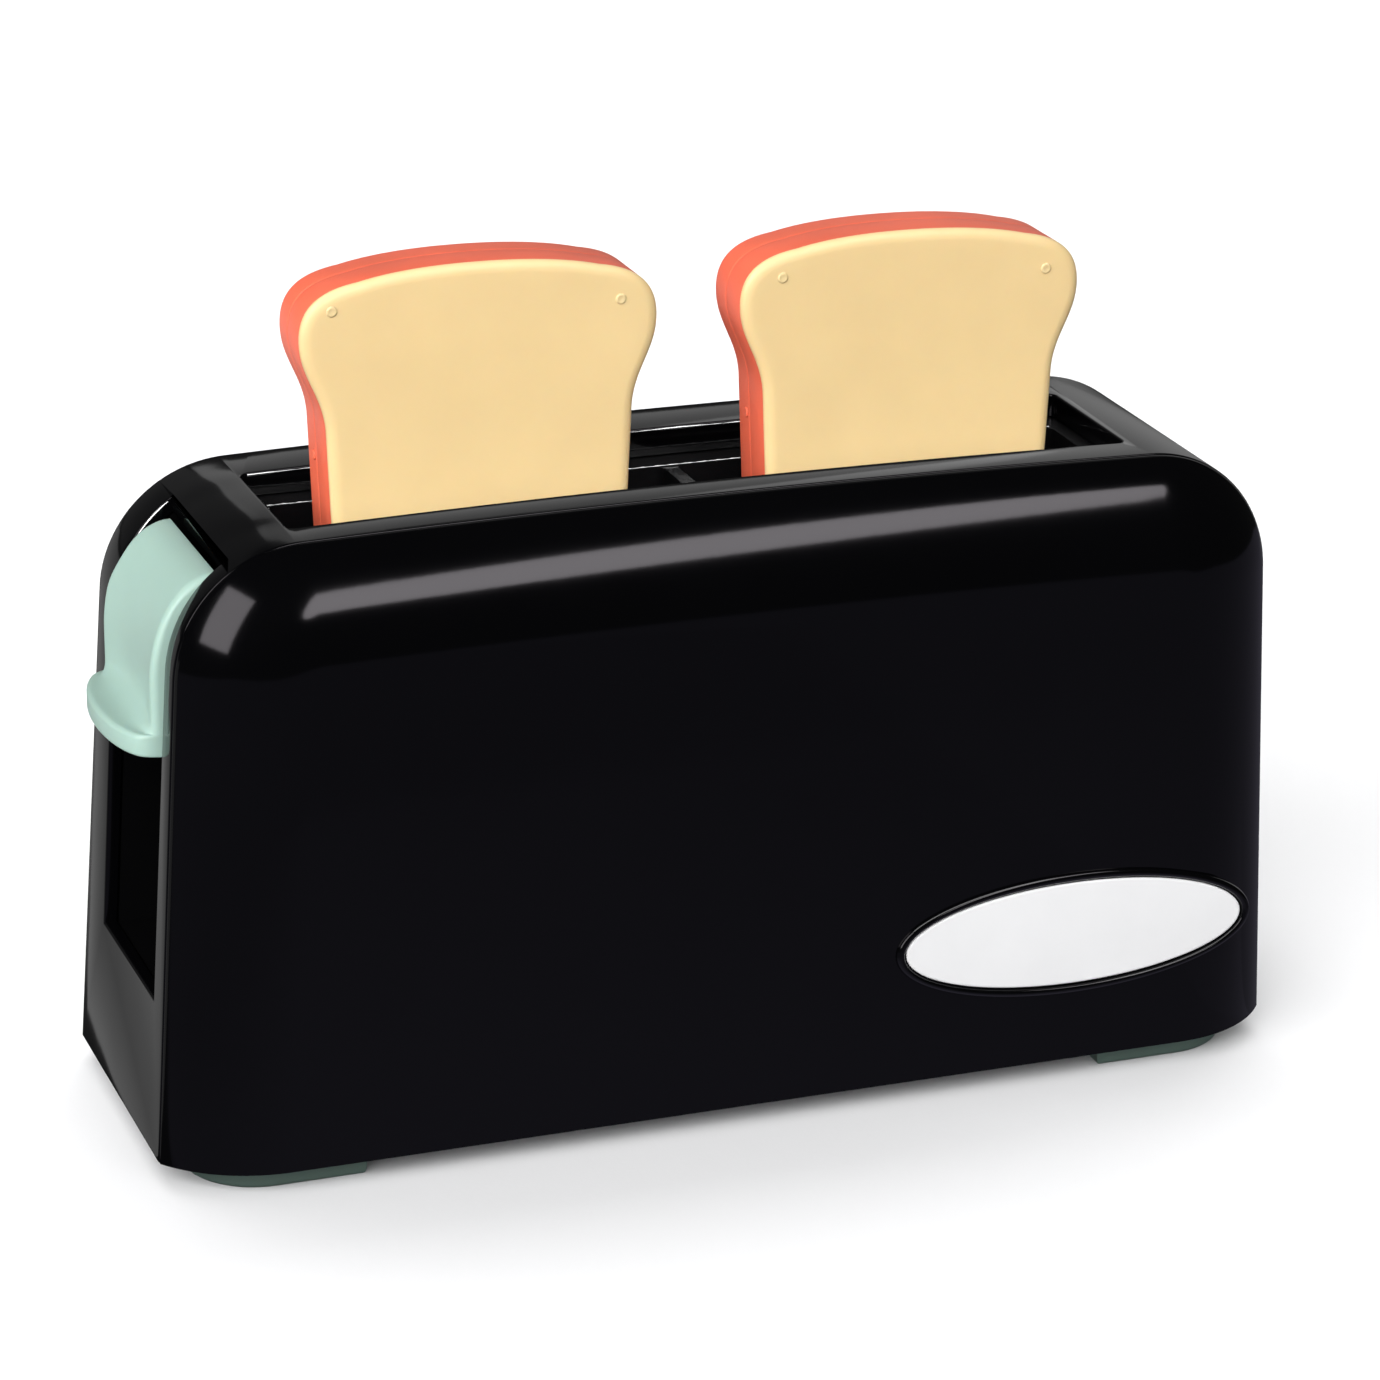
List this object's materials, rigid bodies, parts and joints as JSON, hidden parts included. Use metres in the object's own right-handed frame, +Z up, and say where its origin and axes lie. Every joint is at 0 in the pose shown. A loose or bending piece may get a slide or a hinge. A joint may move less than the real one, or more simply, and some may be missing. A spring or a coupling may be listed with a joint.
{
  "type": "toy toaster",
  "caption": "Pillow-sided toy toaster with mint feet and a press-down lever that lifts the coral and cream play slices standing in its slot.",
  "frame": {"origin": "under the middle of the whole toaster's bounding box, on the surface that its feet stand on", "axes": "+Z up, +X along the housing away from the lever, -Y out of the front cover that carries the oval plate"},
  "size_m": [0.2026, 0.0752, 0.1474],
  "materials": {
    "gloss_black": "high gloss moulded",
    "satin_black": "satin moulded",
    "mint": "satin moulded",
    "coral": "satin moulded",
    "cream": "satin moulded",
    "pale_grey": "satin moulded, bare",
    "ivory": "satin moulded",
    "steel": "bright zinc",
    "spring_steel": "bright drawn wire"
  },
  "bodies": {
    "housing": {"centre_frame": "gloss_black", "front_cover": "gloss_black", "rear_cover": "gloss_black", "base_plate": "satin_black", "left_foot": "mint", "right_foot": "mint", "toast_guide": "satin_black", "lever_well": "satin_black", "badge_plate": "pale_grey", "rocker_pivot_pin": "steel", "lever_return_spring": "spring_steel", "base_screw_1": "steel", "base_screw_2": "steel", "base_screw_3": "steel", "base_screw_4": "steel", "base_screw_5": "steel", "base_screw_6": "steel", "guide_screw_1": "steel", "guide_screw_2": "steel", "guide_screw_3": "steel", "guide_screw_4": "steel"},
    "lever": {"lever": "mint", "lever_arm": "satin_black", "lever_screw": "steel"},
    "rocker": {"rocker": "ivory"},
    "toast_carriage": {"toast_carriage": "satin_black"},
    "left_toast": {"left_toast_crust": "coral", "left_toast_face": "cream"},
    "right_toast": {"right_toast_crust": "coral", "right_toast_face": "cream"}
  },
  "joints": [
    {"name": "lever_slide", "type": "slide", "parent": "housing", "child": "lever", "axis": [0, 0, -1], "range_m": [0, 0.038], "stiffness_N_per_m": 60, "springref_m": -0.02, "deforming": ["lever_return_spring"]},
    {"name": "rocker_pivot", "type": "hinge", "parent": "housing", "child": "rocker", "pos_m": [-0.01866, -0.00308, 0.046], "axis": [0, -1, 0], "range_deg": [0, 46.8]},
    {"name": "carriage_slide", "type": "slide", "parent": "housing", "child": "toast_carriage", "axis": [0, 0, 1], "range_m": [0, 0.0191]},
    {"name": "left_toast_lift", "type": "slide", "parent": "toast_carriage", "child": "left_toast", "axis": [0, 0, 1], "range_m": [0, 0.03]},
    {"name": "right_toast_lift", "type": "slide", "parent": "toast_carriage", "child": "right_toast", "axis": [0, 0, 1], "range_m": [0, 0.03]}
  ],
  "couplings": [
    {"joint": "rocker_pivot", "follows": "lever_slide", "rad_per_m": 21.42},
    {"joint": "carriage_slide", "follows": "lever_slide", "ratio": 0.5}
  ]
}
